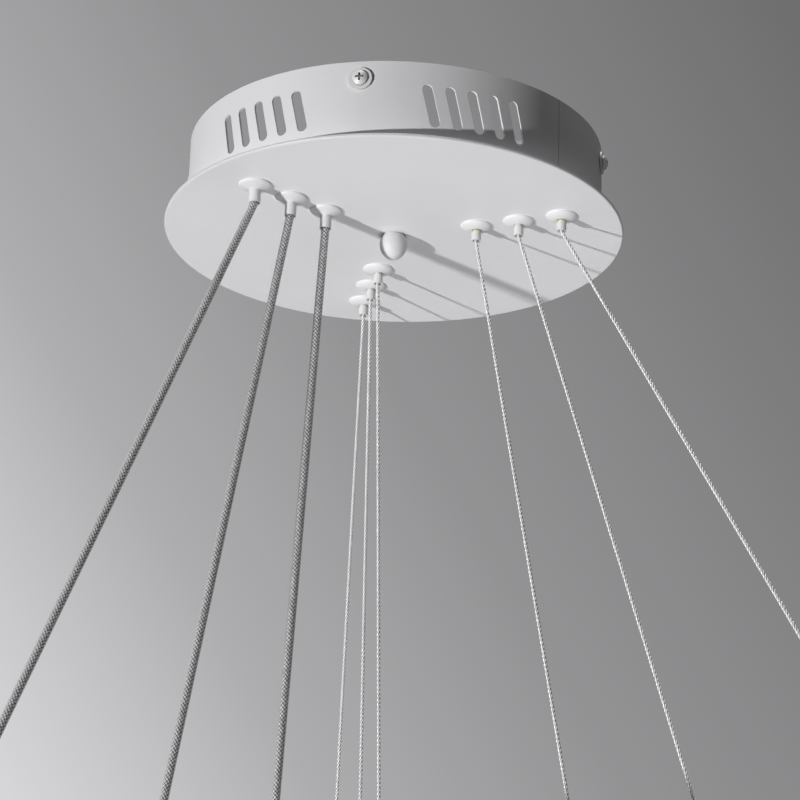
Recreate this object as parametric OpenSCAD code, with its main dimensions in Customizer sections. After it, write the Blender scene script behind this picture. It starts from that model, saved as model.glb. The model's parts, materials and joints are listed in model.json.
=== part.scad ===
// Pendant light: vented round ceiling canopy, nine cords and three hung LED rings.
// The origin is the centre of the ceiling plane, +Z is up, and the lamp hangs below it.

/* [Canopy] */
// Outer diameter of the vented band
band_d = 226; // [222:1:236]
// Height of the band, from the ceiling to the base plate
band_h = 46.5; // [44:0.5:60]
// Sheet thickness of the band
band_wall = 1.2; // [0.8:0.1:1.6]
// Width of the band's inward flange, which lies on the base plate
flange_w = 5; // [3:0.5:6]
// Width of the open joint in the band
seam_w = 0.4; // [0.2:0.1:1]
// Angle of the band's joint, seen from above
seam_az = -31; // [-38:1:-22]
// Width of the strip behind the joint
strip_w = 12; // [8:1:16]
// Thickness of the strip behind the joint
strip_t = 1; // [0.6:0.1:1.5]
// Diameter of the base plate
plate_d = 250; // [242:1:270]
// Thickness of the base plate
plate_t = 2; // [1.5:0.1:3]
// Diameter of the small locating hole near the band's top
pip_d = 2; // [1:0.5:3]
// Height of the locating hole's centre below the ceiling
pip_drop = 4.4; // [3:0.2:6]

/* [Vents] */
// Overall length of a vent slot
vent_len = 24.5; // [15:0.5:28]
// Width of a vent slot
vent_w = 5.6; // [3:0.1:7]
// Lean of the slots from upright
vent_slant = 13; // [0:0.5:15]
// Angle between neighbouring slots
vent_pitch = 6.1; // [5:0.1:6.5]
// Height of the slots' middle above the band's foot
vent_rise = 22.1; // [18:0.1:24]

/* [Ceiling bracket] */
// Thickness of the bracket's steel
bracket_t = 2; // [1.5:0.1:3]
// Width of the bracket's arms and tabs
arm_w = 22; // [16:1:26]
// How far the tabs reach below the ceiling
tab_drop = 16; // [15:0.5:19]
// Diameter of the circle of ceiling screws
ceiling_pcd = 130; // [126:1:160]
// Diameter of a ceiling screw hole
ceiling_hole_d = 5.5; // [4:0.5:7]
// Room between the tabs and the band
tab_gap = 0.25; // [0.2:0.05:0.5]

/* [Side screws] */
// Diameter of a side screw's shank
side_screw_d = 4; // [3:0.5:5]
// Diameter of a side screw's head
side_head_d = 8; // [7:0.5:9]
// Height of a side screw's head
side_head_h = 2.8; // [2:0.1:3.2]
// Diameter of a side washer
side_washer_d = 12.4; // [10:0.2:14]
// Thickness of a side washer
side_washer_t = 1.2; // [0.8:0.1:1.5]
// Height of the side screws below the ceiling
side_screw_drop = 10.2; // [8.5:0.1:10.4]

/* [Centre rod and dome nut] */
// Diameter of the threaded centre rod
rod_d = 8; // [6:0.5:10]
// Width across the corners of the rod's nuts
rod_nut_d = 15; // [13:0.5:17]
// Height of the rod's nuts
rod_nut_h = 6; // [4:0.5:7]
// Widest diameter of the dome nut
dome_nut_d = 15; // [14.5:0.5:18]
// Height of the dome nut
dome_nut_h = 14; // [13:0.5:20]
// Depth of the dome nut's blind hole
dome_nut_bore = 9; // [6:0.5:10]

/* [Rows of grips] */
// Angle of the first row of wire grips, seen from above
row_az = -10.4; // [-12:0.2:-9]
// Distance from the centre to the first grip of a row
grip_r0 = 47.5; // [46.5:0.5:48.5]
// Distance between the grips of a row
grip_pitch = 24; // [23.5:0.5:24.5]

/* [Wire grips] */
// Diameter of the wire grip's white cover
cover_d = 17; // [15:0.5:19]
// Height of the wire grip's white cover
cover_h = 2.8; // [2.6:0.1:4]
// Diameter of the brass core's thread
core_d = 8; // [7:0.5:9]
// Diameter of the brass core's collar inside the cover
core_collar_d = 12; // [11:0.5:12.5]
// Height of the brass core's collar
core_collar_h = 1.5; // [1:0.1:1.7]
// Height of the brass core above the base plate
core_rise = 10.5; // [10:0.5:12]
// Width across the corners of the grip nut
core_nut_d = 15; // [13.5:0.5:15]
// Height of the grip nut
core_nut_h = 5; // [3:0.5:6]
// Diameter of the plunger's brass neck
plunger_neck_d = 4.2; // [4:0.1:4.6]
// Diameter of the plunger's white nozzle
nozzle_d = 5.2; // [5:0.1:6]
// Length of the plunger's white nozzle
nozzle_len = 5; // [3:0.1:6]
// Gap between the cover and the nozzle at rest
plunger_gap = 1.2; // [1.2:0.1:2]
// Diameter of the plunger's bore
plunger_bore_d = 3.2; // [3:0.1:3.4]
// Diameter of the plunger's flared mouth
plunger_mouth_d = 4.2; // [3.6:0.1:4.4]

/* [Power cord glands] */
// Diameter of the gland's flange
gland_flange_d = 17.5; // [15:0.5:20]
// Thickness of the flange's rim
gland_rim = 0.6; // [0.4:0.1:1]
// Height over which the flange narrows to the nozzle
gland_taper = 3; // [2:0.5:6]
// Diameter of the gland's nozzle
gland_nozzle_d = 6.2; // [6.2:0.1:8]
// Depth of the nozzle's end below the base plate
gland_len = 10.6; // [9:0.2:16]
// Diameter of the gland's thread
gland_thread_d = 10; // [8:0.5:11]
// Height of the gland's thread above the base plate
gland_rise = 10; // [8:0.5:11]
// Width across the corners of the gland nut
gland_nut_d = 18; // [15:0.5:18]
// Height of the gland nut
gland_nut_h = 5; // [3:0.5:6]
// Diameter of the gland's bore
gland_bore_d = 5.4; // [5.2:0.1:5.6]

/* [Cords] */
// Diameter of a wire rope
wire_d = 2; // [1.5:0.1:2.4]
// Diameter of a power cord
power_d = 4.5; // [3.5:0.1:4.8]
// Diameter of a lead inside the canopy
lead_d = 3.2; // [2:0.1:4]
// Sideways drift of the hung rings for each unit of drop
hang_lean = 0.053; // [0:0.001:0.06]
// Direction of that drift, seen from above
hang_lean_az = 10; // [0:1:20]

/* [Rings] */
// Diameter of the outer ring's centre line
outer_ring_d = 600; // [560:5:640]
// Diameter of the middle ring's centre line
middle_ring_d = 400; // [360:5:440]
// Diameter of the inner ring's centre line
inner_ring_d = 240; // [220:5:260]
// Height from the outer ring's fittings up to the nozzles
outer_drop = 421; // [400:1:440]
// Height from the middle ring's fittings up to the nozzles
middle_drop = 514; // [500:1:530]
// Height from the inner ring's fittings up to the nozzles
inner_drop = 600; // [590:1:620]
// Width of a ring's channel
ring_w = 20; // [18:0.5:26]
// Height of a ring's channel
ring_h = 30; // [24:1:40]
// Wall of a ring's channel
ring_wall = 2; // [1.5:0.1:3]
// Thickness of the opal diffuser
diffuser_t = 2.5; // [1.5:0.1:4]
// Width of the ledges above the diffuser
ledge_w = 1; // [0.6:0.1:1.4]
// Width of the LED strip
strip_led_w = 12; // [8:0.5:13]
// Thickness of the LED strip
strip_led_t = 1.6; // [1:0.1:2]
// Side of an LED chip
chip_w = 3; // [2:0.5:4]
// Height of an LED chip
chip_h = 0.8; // [0.4:0.1:1.2]
// Spacing of the LED chips along a ring
chip_pitch = 26; // [20:1:60]
// Diameter of a wire's fitting on a ring
anchor_d = 6; // [6:0.5:10]
// Diameter of a power cord's fitting on a ring
entry_d = 9; // [8.5:0.5:12]
// Height of the fittings on a ring
anchor_h = 12; // [10:0.5:20]
// Diameter of a fitting's spigot in the ring
spigot_d = 4; // [3.6:0.1:4.4]

/* [Drivers and terminals] */
// Width of a driver's case
case_w = 36; // [30:1:38]
// Length of a driver's case
case_len = 86; // [76:1:88]
// Height of a driver's case
case_h = 20; // [18:0.5:21]
// Wall of a driver's case
case_wall = 1.2; // [1:0.1:2]
// Distance from the centre to the middle of a driver
driver_r = 66; // [64:0.5:67]
// Length of a driver's fixing ear
ear_len = 8; // [7:0.5:9]
// Width of a driver's fixing ear
ear_w = 16; // [8:1:20]
// Diameter of the studs welded on the base plate
stud_d = 3; // [2.5:0.1:3.5]
// Height of the studs
stud_h = 6; // [5:0.5:8]
// Width across the corners of a stud nut
stud_nut_d = 6.2; // [5.6:0.1:6.8]
// Height of a stud nut
stud_nut_h = 2.4; // [2:0.1:3]
// Thickness of a circuit board
board_t = 1.6; // [1:0.1:2]
// Height of the posts under a circuit board
post_h = 3; // [2:0.5:4]
// Length of the lead bosses on a driver's ends
boss_len = 4; // [3:0.5:5]
// Length of the terminal block
block_len = 30; // [24:1:30]
// Height of the terminal block
block_h = 14; // [12:0.5:16]
// Distance from the centre to the terminal block
block_x = 26; // [24:0.5:27]
// Spacing of the terminal block's poles
pole_pitch = 10; // [8:0.5:10]
// Diameter of a terminal screw
pole_screw_d = 3.8; // [3:0.1:4.5]
// Distance from the centre to the earth screw
earth_r = 36; // [30:1:42]
// Diameter of the earth screw's washer
earth_washer_d = 9; // [8:0.5:10]

/* [Hidden] */
$fn = 72;

// Rings and grips are numbered from the outside in
OUTER = 0;
MIDDLE = 1;
INNER = 2;
LEVELS = [OUTER, MIDDLE, INNER];
// Rows of grips: two of wires, one of power cords
ROW_A = 0;
ROW_B = 1;
ROW_POWER = 2;
WIRE_ROWS = [ROW_A, ROW_B];

// Clearance of a running fit, and of pieces that only lie beside each other
run_gap = 0.05;
lie_gap = 0.1;
// Slack that lets a cut pass through both faces
cut = 1;

// Colours of the photographed finishes
white = [0.82, 0.82, 0.82];
steel = [0.62, 0.63, 0.65];
brass = [0.80, 0.66, 0.38];
braid = [0.48, 0.48, 0.47];
rope = [0.72, 0.72, 0.71];
opal = [0.94, 0.94, 0.92];
board_green = [0.12, 0.35, 0.22];
sheath = [0.85, 0.85, 0.83];

// Fixed details of the hardware
seat_gap = 0.02;
side_screw_len = 8;
rod_reach = 8;
rod_sink = 0.5;
nut_neck_angle = 40;
nut_wide_z = 5.5;
block_w = 22;
peg_d = 3;
peg_inset = 5;
pole_depth = 5;
pole_screw_h = 3.5;
earth_d = 4;
earth_washer_t = 1;
earth_head_d = 7;
earth_head_h = 2.5;
neck_rise = 3.5;
spring_h = 5;
mouth_flare = 0.9;
anchor_foot = 3;
entry_spigot_d = 7;
ledge_h = 1;
post_w = 4;
lid_rim = 2;
port_h = 10.5;
boss_d = 6;
coil_w = 16;
coil_len = 20;
coil_h = 10;
terminal_w = 16;
terminal_len = 7;
terminal_h = 7;
terminal_inset = 2;
capacitor_d = 6;
capacitor_h = 9;
capacitor_x = 5;
capacitor_ys = [-24, -16, 18, 26];
flange_curve = 1.6;
screw_slot_share = 0.125;
screw_slot_reach = 0.55;
screw_crown = 0.7;

band_r = band_d / 2;
band_in_r = band_r - band_wall;
plate_top = -band_h;
plate_foot = plate_top - plate_t;
tab_face = sqrt(band_in_r * band_in_r - arm_w * arm_w / 4) - tab_gap;
side_angles = [0, 90, 180, 270];
vent_group_az = [61, 121, 241, 301];
vents_each_side = 2;

function row_angle(row) = row_az + 120 * row;
function ray(az) = [cos(az), sin(az), 0];
function grip_r(level) = grip_r0 + (2 - level) * grip_pitch;
function grip_pos(row, level) = grip_r(level) * ray(row_angle(row));

// Each driver lies between two rows, and its leads leave from its two ends
driver_az = [row_angle(ROW_POWER) - 60, row_angle(ROW_POWER) + 60, row_angle(ROW_A) + 60];
output_end = [1, -1, 1];
output_reach = 18;
input_reach = 30;
lead_rise = 12;
feed_pole = [0, 0, 1];
feed_side = [1, -1, 1];
feed_reach = 20;
earth_reach = 10;

ring_ds = [outer_ring_d, middle_ring_d, inner_ring_d];
ring_drops = [outer_drop, middle_drop, inner_drop];
mouth_z = plate_foot - gland_len;
plunger_mouth_z = plate_foot - cover_h - plunger_gap - nozzle_len;
function fitting_z(level) = mouth_z - ring_drops[level];
function ring_top(level) = fitting_z(level) - anchor_h;
function ring_foot(level) = ring_top(level) - ring_h;
function ring_centre(level) = hang_lean * ring_drops[level] * ray(hang_lean_az);
function fitting_pos(row, level) = ring_centre(level) + ring_ds[level] / 2 * ray(row_angle(row));

// Cords run straight down in their nozzle, straight to the ring's fitting, and straight down in it.
// Each bend is a parabola that reaches half_bend above and below the corner.
wire_half_bend = 2.5;
power_half_bend = 3.5;
wire_tail = 3;
cord_tail = 2;
cord_head_z = plate_top + gland_rise + cord_tail;
wire_head_z = plate_top + core_rise + wire_tail;
cord_sides = 8;
function bend(x, half) = x <= -half ? 0 : x >= half ? x : (x + half) * (x + half) / (4 * half);
function run_share(z, top, foot, half) = (bend(top - z, half) - bend(foot - z, half)) / (top - foot);
function cord_point(row, level, z, top, foot, half) =
    let (a = grip_pos(row, level), b = fitting_pos(row, level))
    a + run_share(z, top, foot, half) * (b - a) + [0, 0, z];
function cord_levels(level, head, top, foot, end, half) = [
    head, top + half, if (level == OUTER) top, top - half,
    foot + half, if (level == OUTER) foot, foot - half, end
];
function cord_route(row, level, head, top, end, half) = [
    for (z = cord_levels(level, head, top, fitting_z(level), end, half))
        cord_point(row, level, z, top, fitting_z(level), half)
];

// A lead inside the canopy is a cubic curve between two faces that it leaves square
lead_steps = 4;
function curve_point(p, t) =
    pow(1 - t, 3) * p[0] + 3 * pow(1 - t, 2) * t * p[1] + 3 * (1 - t) * t * t * p[2] + pow(t, 3) * p[3];
function curve_slope(p, t) =
    pow(1 - t, 2) * (p[1] - p[0]) + 2 * (1 - t) * t * (p[2] - p[1]) + t * t * (p[3] - p[2]);

function unit(v) = v / norm(v);
function path_slope(p, i) = unit(p[min(i + 1, len(p) - 1)] - p[max(i - 1, 0)]);

module tube(points, slopes, d, side) {
    n = cord_sides;
    last = len(points) - 1;
    verts = [
        for (i = [0 : last])
            let (t = unit(slopes[i]), a = unit(cross(side, t)), b = cross(t, a))
            for (k = [0 : n - 1])
                points[i] + d / 2 * (cos(360 * k / n) * a + sin(360 * k / n) * b)
    ];
    walls = [
        for (i = [0 : last - 1], k = [0 : n - 1], half = [0, 1])
            let (p = i * n + k, q = i * n + (k + 1) % n)
            half == 0 ? [p, p + n, q] : [q, p + n, q + n]
    ];
    head = [for (k = [1 : n - 2]) [0, k, k + 1]];
    foot = [for (k = [1 : n - 2]) [last * n, last * n + k + 1, last * n + k]];
    polyhedron(points = verts, faces = concat(walls, head, foot), convexity = 4);
}

module cord(route, d) {
    slopes = [for (i = [0 : len(route) - 1]) path_slope(route, i)];
    tube(route, slopes, d, [0, 1, 0]);
}

module lead(p, side) {
    ts = [for (i = [0 : lead_steps]) i / lead_steps];
    tube([for (t = ts) curve_point(p, t)], [for (t = ts) curve_slope(p, t)], lead_d, side);
}

module at_grip(row, level) {
    translate(grip_pos(row, level)) rotate([0, 0, row_angle(row)]) children();
}

module hex_nut(d, h, hole_d) {
    difference() {
        cylinder(d = d, h = h, $fn = 6);
        translate([0, 0, -cut]) cylinder(d = hole_d, h = h + 2 * cut);
    }
}

// Ceiling bracket
module ceiling_bracket() {
    color(steel)
    difference() {
        union() {
            for (az = [0, 90])
                rotate([0, 0, az]) translate([-tab_face, -arm_w / 2, -bracket_t])
                    cube([2 * tab_face, arm_w, bracket_t]);
            for (az = side_angles)
                rotate([0, 0, az]) translate([tab_face - bracket_t, -arm_w / 2, -tab_drop])
                    cube([bracket_t, arm_w, tab_drop]);
        }
        translate([0, 0, -bracket_t - cut]) cylinder(d = rod_d + 2 * run_gap, h = bracket_t + 2 * cut);
        for (az = side_angles) {
            rotate([0, 0, az]) translate([ceiling_pcd / 2, 0, -bracket_t - cut])
                cylinder(d = ceiling_hole_d, h = bracket_t + 2 * cut);
            rotate([0, 0, az]) translate([tab_face - bracket_t - cut, 0, -side_screw_drop])
                rotate([0, 90, 0]) cylinder(d = side_screw_d + 2 * run_gap, h = bracket_t + 2 * cut);
        }
        for (x = [block_x + peg_inset, block_x + block_len - peg_inset])
            translate([x, 0, -bracket_t - cut]) cylinder(d = peg_d + 2 * run_gap, h = bracket_t + 2 * cut);
        translate([0, earth_r, -bracket_t - cut])
            cylinder(d = earth_d + 2 * run_gap, h = bracket_t + 2 * cut);
    }
}

// Vented band
module vent_slot() {
    run = vent_len - vent_w;
    translate([band_r, 0, plate_top + vent_rise]) rotate([vent_slant, 0, 0]) rotate([0, 90, 0])
        translate([0, 0, -2 * band_wall])
        linear_extrude(4 * band_wall)
        union() {
            square([run, vent_w], center = true);
            for (end = [-1, 1])
                translate([end * run / 2, 0]) circle(d = vent_w);
        }
}

module canopy_band() {
    color(white)
    difference() {
        translate([0, 0, plate_top]) cylinder(r = band_r, h = band_h);
        translate([0, 0, plate_top + band_wall]) cylinder(r = band_in_r, h = band_h);
        translate([0, 0, plate_top - cut]) cylinder(r = band_in_r - flange_w, h = band_h);
        for (az = vent_group_az, i = [-vents_each_side : vents_each_side])
            rotate([0, 0, az + i * vent_pitch]) vent_slot();
        for (az = side_angles)
            rotate([0, 0, az]) translate([band_r - 2 * band_wall, 0, -side_screw_drop]) rotate([0, 90, 0])
                cylinder(d = side_screw_d + 2 * lie_gap, h = 4 * band_wall);
        rotate([0, 0, row_az]) translate([band_r - 2 * band_wall, 0, -pip_drop]) rotate([0, 90, 0])
            cylinder(d = pip_d, h = 4 * band_wall);
        rotate([0, 0, seam_az]) translate([band_in_r - flange_w - cut, -seam_w / 2, plate_top - cut])
            cube([flange_w + band_wall + 2 * cut, seam_w, band_h + 2 * cut]);
    }
}

module band_joint_strip() {
    strip_arc = strip_w / band_in_r * 180 / PI;
    color(white)
    translate([0, 0, plate_top + band_wall + lie_gap])
    rotate([0, 0, seam_az - strip_arc / 2])
    rotate_extrude(angle = strip_arc)
    translate([band_in_r - lie_gap - strip_t, 0])
    square([strip_t, band_h - band_wall - bracket_t]);
}

// Base plate
module base_plate() {
    edge_r = plate_t / 2;
    color(white)
    difference() {
        union() {
            translate([0, 0, plate_foot]) rotate_extrude() union() {
                square([plate_d / 2 - edge_r, plate_t]);
                translate([plate_d / 2 - edge_r, edge_r]) circle(r = edge_r, $fn = 32);
            }
            for (level = LEVELS)
                at_studs(level) translate([0, 0, -cut]) cylinder(d = stud_d, h = stud_h + cut);
        }
        translate([0, 0, plate_foot - cut]) cylinder(d = rod_d + 2 * lie_gap, h = plate_t + 2 * cut);
        for (level = LEVELS) {
            for (row = WIRE_ROWS)
                at_grip(row, level) translate([0, 0, plate_foot - cut])
                    cylinder(d = core_d + 2 * lie_gap, h = plate_t + 2 * cut);
            at_grip(ROW_POWER, level) translate([0, 0, plate_foot - cut])
                cylinder(d = gland_thread_d + 2 * lie_gap, h = plate_t + 2 * cut);
        }
    }
}

// Centre rod, its nuts and the dome nut
module centre_rod() {
    color(steel)
    translate([0, 0, plate_foot - rod_reach])
        cylinder(d = rod_d, h = band_h + plate_t + rod_reach - rod_sink);
}

module rod_nuts() {
    color(steel)
    for (z = [-bracket_t - rod_nut_h, plate_top])
        translate([0, 0, z]) hex_nut(rod_nut_d, rod_nut_h, rod_d + 2 * run_gap);
}

// The egg is a half ellipse down to the widest place and a longer one below it
module dome_nut() {
    r = dome_nut_d / 2;
    neck = nut_wide_z / sin(nut_neck_angle);
    color(white)
    translate([0, 0, plate_foot])
    difference() {
        rotate_extrude()
            polygon(concat(
                [[0, 0]],
                [for (a = [nut_neck_angle : -10 : 0]) [r * cos(a), neck * sin(a) - nut_wide_z]],
                [for (a = [10 : 10 : 80]) [r * cos(a), -nut_wide_z - (dome_nut_h - nut_wide_z) * sin(a)]],
                [[0, -dome_nut_h]]
            ));
        translate([0, 0, -dome_nut_bore]) cylinder(d = rod_d + 2 * run_gap, h = dome_nut_bore + cut);
    }
}

// Side screws and washers
module side_screws() {
    slot_w = side_head_d * screw_slot_share;
    slot_len = side_head_d * screw_slot_reach;
    slot_depth = side_head_h * screw_slot_reach;
    crown_r = side_head_d * screw_crown;
    color(steel)
    for (az = side_angles)
        rotate([0, 0, az]) translate([band_r + side_washer_t + 2 * seat_gap, 0, -side_screw_drop])
        rotate([0, 90, 0])
        difference() {
            union() {
                intersection() {
                    cylinder(d = side_head_d, h = side_head_h);
                    translate([0, 0, side_head_h - crown_r]) sphere(r = crown_r);
                }
                translate([0, 0, -side_screw_len]) cylinder(d = side_screw_d, h = side_screw_len + cut);
            }
            for (turn = [0, 90])
                rotate([0, 0, turn]) translate([-slot_len / 2, -slot_w / 2, side_head_h - slot_depth])
                    cube([slot_len, slot_w, slot_depth + cut]);
        }
}

module side_washers() {
    color(steel)
    for (az = side_angles)
        rotate([0, 0, az]) translate([band_r + seat_gap, 0, -side_screw_drop]) rotate([0, 90, 0])
        difference() {
            cylinder(d = side_washer_d, h = side_washer_t);
            translate([0, 0, -cut]) cylinder(d = side_screw_d + 2 * lie_gap, h = side_washer_t + 2 * cut);
        }
}

// Terminal block with its screws, and the earth screw
module at_poles() {
    for (i = [-1 : 1], side = [-1, 1])
        translate([block_x + block_len / 2 + i * pole_pitch, side * block_w / 4, -bracket_t - block_h])
            children();
}

module terminal_block() {
    color(sheath)
    difference() {
        union() {
            translate([block_x, -block_w / 2, -bracket_t - block_h]) cube([block_len, block_w, block_h]);
            for (x = [block_x + peg_inset, block_x + block_len - peg_inset])
                translate([x, 0, -bracket_t - cut]) cylinder(d = peg_d, h = bracket_t + cut - rod_sink);
        }
        at_poles() translate([0, 0, -cut]) cylinder(d = pole_screw_d + 2 * lie_gap, h = pole_depth + cut);
    }
}

module terminal_screws() {
    slot_w = pole_screw_d / 5;
    color(steel)
    at_poles() translate([0, 0, pole_depth - pole_screw_h])
    difference() {
        cylinder(d = pole_screw_d, h = pole_screw_h);
        translate([-pole_screw_d, -slot_w / 2, -cut]) cube([2 * pole_screw_d, slot_w, slot_w + cut]);
    }
}

module earth_screw() {
    color(steel)
    translate([0, earth_r, -bracket_t - earth_washer_t])
    union() {
        cylinder(d = earth_washer_d, h = earth_washer_t);
        translate([0, 0, -earth_head_h]) cylinder(d = earth_head_d, h = earth_head_h + earth_washer_t);
        cylinder(d = earth_d, h = earth_washer_t + bracket_t - rod_sink);
    }
}

// Drivers
module at_driver(level) {
    rotate([0, 0, driver_az[level]]) translate([driver_r, 0, plate_top]) children();
}

module at_studs(level) {
    at_driver(level)
        for (end = [-1, 1])
            translate([0, end * (case_len + ear_len) / 2, 0]) children();
}

module driver_case(level) {
    inner_w = case_w - 2 * case_wall;
    inner_len = case_len - 2 * case_wall;
    color(white)
    difference() {
        at_driver(level)
        union() {
            difference() {
                translate([-case_w / 2, -case_len / 2, 0]) cube([case_w, case_len, case_h - case_wall]);
                translate([-inner_w / 2, -inner_len / 2, case_wall]) cube([inner_w, inner_len, case_h]);
            }
            for (x = [-1, 1], y = [-1, 1])
                translate([x * (case_w - post_w) / 2, y * (case_len - post_w) / 2, (case_wall + post_h) / 2])
                    cube([post_w, post_w, case_wall + post_h], center = true);
            for (end = [-1, 1]) {
                translate([-ear_w / 2, end * (case_len + ear_len) / 2 - ear_len / 2, 0])
                    cube([ear_w, ear_len, case_wall]);
                translate([0, end * case_len / 2, port_h]) rotate([-90 * end, 0, 0])
                    cylinder(d = boss_d, h = boss_len);
            }
        }
        at_studs(level) translate([0, 0, -cut]) cylinder(d = stud_d + 4 * lie_gap, h = case_wall + 2 * cut);
    }
}

module driver_lid(level) {
    inner_w = case_w - 2 * case_wall - 2 * lie_gap;
    inner_len = case_len - 2 * case_wall - 2 * lie_gap;
    color(white)
    at_driver(level)
    difference() {
        union() {
            translate([-case_w / 2, -case_len / 2, case_h - case_wall]) cube([case_w, case_len, case_wall]);
            translate([-inner_w / 2, -inner_len / 2, case_h - case_wall - lid_rim])
                cube([inner_w, inner_len, lid_rim + case_wall / 2]);
        }
        translate([-inner_w / 2 + case_wall, -inner_len / 2 + case_wall, case_h - case_wall - lid_rim - cut])
            cube([inner_w - 2 * case_wall, inner_len - 2 * case_wall, lid_rim + cut]);
    }
}

module driver_board(level) {
    w = case_w - 2 * case_wall - 2 * lie_gap;
    l = case_len - 2 * case_wall - 2 * lie_gap;
    terminal_y = l / 2 - terminal_len / 2 - terminal_inset;
    color(board_green)
    at_driver(level) translate([0, 0, case_wall + post_h])
    union() {
        translate([-w / 2, -l / 2, 0]) cube([w, l, board_t]);
        translate([-coil_w / 2, -coil_len / 2, 0]) cube([coil_w, coil_len, board_t + coil_h]);
        for (end = [-1, 1])
            translate([-terminal_w / 2, end * terminal_y - terminal_len / 2, 0])
                cube([terminal_w, terminal_len, board_t + terminal_h]);
        for (y = capacitor_ys)
            translate([capacitor_x, y, 0]) cylinder(d = capacitor_d, h = board_t + capacitor_h);
    }
}

module driver_nuts() {
    color(steel)
    for (level = LEVELS)
        at_studs(level) translate([0, 0, case_wall]) hex_nut(stud_nut_d, stud_nut_h, stud_d + 2 * run_gap);
}

// Leads inside the canopy
function driver_ray(level) = ray(driver_az[level]);
function driver_side(level) = ray(driver_az[level] + 90);
function port_pos(level, end) =
    driver_r * driver_ray(level) + end * (case_len / 2 + boss_len) * driver_side(level)
    + [0, 0, plate_top + port_h];
function port_lead(start, start_reach, level, end, end_reach) = [
    start, start + start_reach,
    port_pos(level, end) + end * end_reach * driver_side(level), port_pos(level, end)
];

module output_leads() {
    color(sheath)
    for (level = LEVELS)
        lead(port_lead(
            grip_pos(ROW_POWER, level) + [0, 0, cord_head_z], [0, 0, lead_rise],
            level, output_end[level], output_reach
        ), driver_ray(level));
}

module primary_leads() {
    block_mid = block_x + block_len / 2;
    lead_z = -bracket_t - block_h / 2;
    earth_pole = [block_mid - pole_pitch, block_w / 2, lead_z];
    earth_end = [earth_washer_d / 2, earth_r, -bracket_t - lead_d / 2 - lie_gap];
    color(sheath) {
        for (level = LEVELS)
            lead(port_lead(
                [block_mid + feed_pole[level] * pole_pitch, feed_side[level] * block_w / 2, lead_z],
                [0, feed_side[level] * feed_reach, 0], level, -output_end[level], input_reach
            ), [0, 0, 1]);
        lead(
            [earth_pole, earth_pole + [0, earth_reach, 0], earth_end + [earth_reach, 0, 0], earth_end],
            [0, 0, 1]
        );
    }
}

// Power cord glands
module power_gland(level) {
    flange_r = gland_flange_d / 2;
    nozzle_r = gland_nozzle_d / 2;
    color(white)
    at_grip(ROW_POWER, level) translate([0, 0, plate_foot])
    difference() {
        union() {
            rotate_extrude()
                polygon(concat(
                    [[0, 0], [flange_r, 0]],
                    [for (a = [0 : 10 : 90]) [
                        nozzle_r + (flange_r - nozzle_r) * pow(cos(a), flange_curve),
                        -gland_rim - gland_taper * a / 90
                    ]],
                    [[nozzle_r, -gland_len], [0, -gland_len]]
                ));
            translate([0, 0, -cut]) cylinder(d = gland_thread_d, h = cut + plate_t + gland_rise);
        }
        translate([0, 0, -gland_len - cut])
            cylinder(d = gland_bore_d, h = gland_len + plate_t + gland_rise + 2 * cut);
    }
}

module gland_nuts() {
    color(steel)
    for (level = LEVELS)
        at_grip(ROW_POWER, level) translate([0, 0, plate_top])
            hex_nut(gland_nut_d, gland_nut_h, gland_thread_d + 2 * run_gap);
}

// Wire grips
module each_gripper() {
    for (row = WIRE_ROWS, level = LEVELS)
        at_grip(row, level) children();
}

module gripper_cores() {
    color(brass)
    each_gripper() translate([0, 0, plate_foot])
    difference() {
        union() {
            translate([0, 0, -core_collar_h]) cylinder(d = core_collar_d, h = core_collar_h);
            translate([0, 0, -cut]) cylinder(d = core_d, h = cut + plate_t + core_rise);
        }
        translate([0, 0, -core_collar_h - cut])
            cylinder(d = plunger_neck_d + 2 * run_gap, h = cut + core_collar_h + neck_rise + spring_h);
        translate([0, 0, -cut]) cylinder(d = wire_d + 6 * lie_gap, h = 2 * cut + plate_t + core_rise);
    }
}

module gripper_covers() {
    hole_r = plunger_neck_d / 2 + 3 * lie_gap;
    full_h = cover_h / sqrt(1 - pow(2 * hole_r / cover_d, 2));
    color(white)
    each_gripper() translate([0, 0, plate_foot])
    difference() {
        rotate_extrude()
            polygon(concat(
                [[0, 0]],
                [for (a = [0 : 7.5 : 82.5]) [cover_d / 2 * cos(a), -full_h * sin(a)]],
                [[0, -full_h]]
            ));
        translate([0, 0, -core_collar_h - lie_gap])
            cylinder(d = core_collar_d + 2 * lie_gap, h = core_collar_h + lie_gap + cut);
        translate([0, 0, -full_h - cut]) cylinder(r = hole_r, h = full_h + 2 * cut);
    }
}

module gripper_nuts() {
    color(steel)
    each_gripper() translate([0, 0, plate_top]) hex_nut(core_nut_d, core_nut_h, core_d + 2 * run_gap);
}

module gripper_springs() {
    color(steel)
    each_gripper() translate([0, 0, plate_foot + neck_rise])
    difference() {
        cylinder(d = plunger_neck_d, h = spring_h - lie_gap);
        translate([0, 0, -cut]) cylinder(d = plunger_bore_d, h = spring_h + 2 * cut);
    }
}

module plunger(row, level) {
    neck_len = neck_rise + cover_h + plunger_gap;
    color(brass)
    at_grip(row, level) translate([0, 0, plunger_mouth_z])
    difference() {
        union() {
            cylinder(d = nozzle_d, h = nozzle_len);
            translate([0, 0, nozzle_len / 2]) cylinder(d = plunger_neck_d, h = nozzle_len / 2 + neck_len);
        }
        translate([0, 0, -cut]) cylinder(d = plunger_bore_d, h = nozzle_len + neck_len + 2 * cut);
        cylinder(d1 = plunger_mouth_d, d2 = plunger_bore_d, h = mouth_flare);
    }
}

// Cords
module power_cord(level) {
    color(braid)
    cord(cord_route(
        ROW_POWER, level, cord_head_z, mouth_z, ring_top(level) - ring_wall, power_half_bend
    ), power_d);
}

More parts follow.
